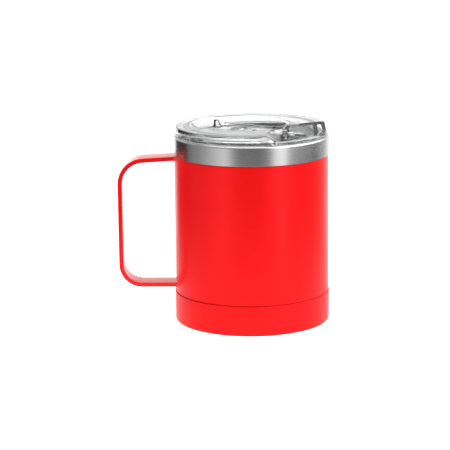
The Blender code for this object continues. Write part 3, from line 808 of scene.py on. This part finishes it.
class MUG_OT_slider(bpy.types.Operator):
    """Clear slider: plate, arched tongue that covers the drinking hole, and a ribbed thumb bar"""
    bl_idname = "mug.slider"
    bl_label = "Slider"

    def execute(self, context):
        low, high, front_x = SLIDER_Z, SLIDER_Z + 1.6 * MM, 9.0 * MM
        slider = self.plate(low, high, front_x)
        carve(slider, self.tongue(front_x - ARCH_HALF), "UNION")
        carve(slider, self.thumb_bar(low, high), "UNION")
        groove_in, groove_out, groove_top = 4.2 * MM, 5.7 * MM, SEAL_HIGH.z + 0.3 * MM
        groove = [(groove_in, low - MM), (groove_out, low - MM), (groove_out, groove_top),
                  (groove_in, groove_top)]
        carve(slider, turned("seal_groove", groove, HOLE_X, 96))
        clean_moulding(slider)
        clear = clear_plastic("clear_slider", context.scene.mug_colours.plastic)
        dress(slider, clear, "slider", "clear_plastic", "slider")
        return {"FINISHED"}

    @staticmethod
    def plate(low, high, front_x):
        """The flat plate: rounded corners in front, and the same rear arc as the pocket."""
        half, rear_x, soft, corner = 10.0 * MM, -20.2 * MM, 0.25 * MM, 1.2 * MM
        outline = rounded([(front_x, -half, corner), (front_x, half, corner)]
                          + round_rear(half, rear_x + REAR_R, 0.4 * MM, 20), closed=True)
        return raised("slider_clear", outline, rounded([
            (-2 * soft, low, 0), (0, low, soft), (0, high, soft), (-2 * soft, high, 0)]))

    @staticmethod
    def tongue(start):
        """The arched tongue: half of its section, carried straight out to the drinking hole, half a turn
        round the hole's axis, and straight back."""
        steps = 32
        section = arch_section(0.0, steps)[:steps // 2 + 2]
        turn = np.linspace(-math.pi / 2, math.pi / 2, 49)[:, None]
        y, z = section[:, 0], section[:, 1]
        nose = np.stack([HOLE_X + y * np.cos(turn), y * np.sin(turn), np.tile(z, (len(turn), 1))], axis=-1)
        first = np.stack([np.full(len(y), start), -y, z], axis=-1)[None]
        last = first * (1, -1, 1)
        rows = np.concatenate([first, nose, last])
        count = rows.shape[1]
        flat = rows.reshape(-1, 3)
        faces = grid_faces(len(rows), count, False, False)
        faces.append(list(range(count)) + list(range(len(flat) - 2, len(flat) - count - 1, -1)))
        faces.append([i * count for i in range(len(rows))])
        tongue = new_piece("tongue", flat, faces)
        weld = bmesh.new()
        weld.from_mesh(tongue.data)
        bmesh.ops.remove_doubles(weld, verts=weld.verts, dist=0.001 * MM)
        bmesh.ops.recalc_face_normals(weld, faces=weld.faces)
        weld.to_mesh(tongue.data)
        weld.free()
        return tongue

    @staticmethod
    def thumb_bar(low, high):
        """A ribbed bar across the plate. Its crest drops with the fourth power of the distance from the
        middle, less three shallow cosine ribs. Rows stand at y = half_length sin a / sin end, where the
        section is narrowed by cos a to the power 0.3 and lowered by cos a to the power 0.45."""
        foot, crest, thumb_x = high - (high - low) / 2, high + 1.2 * MM, -8.4 * MM
        half_foot, half_top, half_length = 3.0 * MM, 2.2 * MM, 7.0 * MM
        rib_count, rib_depth, shoulder_drop = 3, 0.16 * MM, 0.3 * MM
        across = np.linspace(-1, 1, 61)
        ribs = rib_depth * (1 - np.cos(across * rib_count * math.pi)) / 2
        top = np.column_stack([thumb_x + across * half_top, crest - shoulder_drop * across**4 - ribs])
        section = np.concatenate([[(thumb_x - half_foot, foot)], top, [(thumb_x + half_foot, foot)]])
        end = math.pi / 2 * 0.94
        a = np.linspace(-1, 1, 41) * end
        reach = half_length * np.sin(a) / math.sin(end)
        width, height = np.cos(a)[:, None] ** 0.3, np.cos(a)[:, None] ** 0.45
        rows = np.stack([thumb_x + (section[:, 0] - thumb_x) * width,
                         np.repeat(reach[:, None], len(section), axis=1),
                         foot + (section[:, 1] - foot) * height], axis=-1)
        return carried("thumb_bar", rows)


# ---------------------------------------------------------------- stage

# Light bands as (compass degrees, brightness); the tops are heights of the unit view direction.
WALL_LIGHT = (
    (-180, 1.20), (-162, 1.50), (-150, 1.60), (-145, 0.05), (-110, 0.02), (-106, 0.20), (-101, 0.26),
    (-84, 0.32), (-76, 0.42), (-62, 0.62), (-49, 0.86), (-38, 1.02), (-32, 0.75), (-24, 0.36), (-16, 0.22),
    (14, 0.18), (24, 0.26), (30, 0.56), (36, 1.15), (50, 1.35), (55, 0.75), (62, 0.36), (74, 0.22),
    (112, 0.18), (122, 0.42), (136, 0.60), (150, 1.10), (162, 1.20), (180, 1.20))
SIDE_LIGHT = (
    (-180, 0.85), (-150, 0.80), (-120, 0.45), (-60, 0.35), (-20, 0.08), (20, 0.12), (45, 2.80), (120, 3.00),
    (150, 0.90), (180, 0.85))
OVERHEAD = 2.0
WALL_TOP = (0.02, 0.36)
SIDE_TOP = (0.74, 0.86)
FLOOR_HALF = 6.0
FLOOR_GLOW = 1.6
CARD_R = 0.45
CARD_GLOW = 0.8
CAMERA_AT = (0.0, -1.0296, 0.2722)
CAMERA_PAN = 0.0141
CAMERA_DIP = 0.2110
CAMERA_ROLL = -0.0111
CAMERA_LENS = 155.3
CAMERA_SENSOR = 36.0


def flat_sheet(name, outline, height):
    """One flat face with this outline, at one height."""
    mesh = bpy.data.meshes.new(name)
    corners = np.column_stack([outline, np.full(len(outline), height)])
    mesh.from_pydata(corners.tolist(), [], [list(range(len(outline)))])
    made = bpy.data.objects.new(name, mesh)
    bpy.context.scene.collection.objects.link(made)
    return made


class MUG_OT_stage(bpy.types.Operator):
    """Pale floor, soft light all round, and the camera"""
    bl_idname = "mug.stage"
    bl_label = "Stage"

    def execute(self, context):
        scene = context.scene
        scene.view_settings.view_transform = "Standard"
        self.light_the_room(scene)
        self.lay_the_floor()
        self.lay_the_reflector()
        self.place_the_camera(scene)
        return {"FINISHED"}

    @staticmethod
    def place_the_camera(scene):
        """A long lens in front of the mug: turned by the pan, dipped below level, then rolled."""
        data = bpy.data.cameras.new("camera")
        data.lens, data.sensor_width = CAMERA_LENS, CAMERA_SENSOR
        data.clip_start, data.clip_end = 0.05, 50.0
        camera = bpy.data.objects.new("camera", data)
        pan = Matrix.Rotation(CAMERA_PAN, 4, "Z")
        dip = Matrix.Rotation(math.pi / 2 - CAMERA_DIP, 4, "X")
        roll = Matrix.Rotation(CAMERA_ROLL, 4, "Z")
        camera.matrix_world = Matrix.Translation(CAMERA_AT) @ pan @ dip @ roll
        scene.collection.objects.link(camera)
        scene.camera = camera

    @staticmethod
    def light_the_room(scene):
        """Soft boxes as light bands by compass direction: one set near the horizon, a second set higher up
        the walls, and an even light overhead, each blended into the next by the height of the view."""
        room = Finish("soft_boxes", world=True)
        look = room.add("ShaderNodeTexCoord", output="Generated")
        split = room.add("ShaderNodeSeparateXYZ", None, {"Vector": look}).output.node
        x, y, z = (Socket(room, split.outputs[k]) for k in range(3))
        bearing = room.add("ShaderNodeMath", {"operation": "ARCTAN2"}, {0: x, 1: y * -1.0})
        share = bearing * (1 / math.tau) + 0.5
        peak = max(level for _, level in WALL_LIGHT + SIDE_LIGHT)
        bands = []
        for lights in (WALL_LIGHT, SIDE_LIGHT):
            stops = [((degrees + 180) / 360, level / peak) for degrees, level in lights]
            bands.append(room.add("ShaderNodeValToRGB", {"stops": stops}, {"Fac": share}))
        walls, sides = bands
        upper = room.blend(room.fade(z, *SIDE_TOP), sides, rgb((OVERHEAD / peak,) * 3))
        sky = room.blend(room.fade(z, *WALL_TOP), walls, upper)
        light = room.add("ShaderNodeBackground", None, {"Color": sky, "Strength": peak})
        room.add("ShaderNodeOutputWorld", None, {"Surface": light})
        scene.world = room.made

    @staticmethod
    def lay_the_floor():
        """A wide pale sheet, lit a little from within near the mug. It is left out of reflections, so
        polished faces mirror the room and the card."""
        corners = np.array([(-1, -1), (1, -1), (1, 1), (-1, 1)]) * FLOOR_HALF
        floor = flat_sheet("floor", corners, 0.0)
        pale = Finish("pale_floor")
        glow = pale.blend(pale.fade_outwards(0.04, 0.35), rgb((1.0,) * 3), rgb((0.3,) * 3))
        floor.data.materials.append(pale.surface({
            "Base Color": rgb((0.85,) * 3), "Roughness": 0.9, "Specular IOR Level": 0.0,
            "Emission Color": glow, "Emission Strength": FLOOR_GLOW}))
        floor.visible_glossy = False

    @staticmethod
    def lay_the_reflector():
        """A round card on the floor, seen only in reflections: bright near the mug, then fading out."""
        card = flat_sheet("reflector", arc(0, 0, CARD_R, 0, math.tau, 64)[:-1], 0.5 * MM)
        fading = Finish("reflector_card")
        share = fading.fade_outwards(0.08, 0.32, 1.0, 0.0)
        clear = fading.add("ShaderNodeBsdfTransparent")
        glow = fading.add("ShaderNodeEmission", None, {"Color": rgb((1.0,) * 3), "Strength": CARD_GLOW})
        mixed = fading.add("ShaderNodeMixShader", None, {0: share, 1: clear, 2: glow})
        fading.add("ShaderNodeOutputMaterial", None, {"Surface": mixed})
        card.data.materials.append(fading.made)
        for rays in ("camera", "diffuse", "transmission", "volume_scatter", "shadow"):
            setattr(card, f"visible_{rays}", False)


STEPS = (MUG_OT_cup, MUG_OT_vacuum_parts, MUG_OT_handle, MUG_OT_lid, MUG_OT_seals, MUG_OT_slider,
         MUG_OT_stage)
GROUPS = {"mug_sizes": MugSizes, "lid_sizes": LidSizes, "mug_colours": MugColours}


class MUG_PT_panel(bpy.types.Panel):
    """Lists the sizes, the colours and the building steps"""
    bl_idname = "MUG_PT_panel"
    bl_label = "Travel mug"
    bl_space_type = "VIEW_3D"
    bl_region_type = "UI"
    bl_category = "Travel mug"

    def draw(self, context):
        for name, group in GROUPS.items():
            box = self.layout.box()
            for field in group.__annotations__:
                box.prop(getattr(context.scene, name), field)
        for step in STEPS:
            self.layout.operator(step.bl_idname)


def register():
    for made in (*GROUPS.values(), *STEPS, MUG_PT_panel):
        bpy.utils.register_class(made)
    for name, group in GROUPS.items():
        setattr(bpy.types.Scene, name, bpy.props.PointerProperty(type=group))


def unregister():
    for name in GROUPS:
        delattr(bpy.types.Scene, name)
    for made in reversed((*GROUPS.values(), *STEPS, MUG_PT_panel)):
        bpy.utils.unregister_class(made)


def main():
    register()
    for step in STEPS:
        getattr(bpy.ops.mug, step.bl_idname.split(".")[1])()


if __name__ == "__main__":
    main()
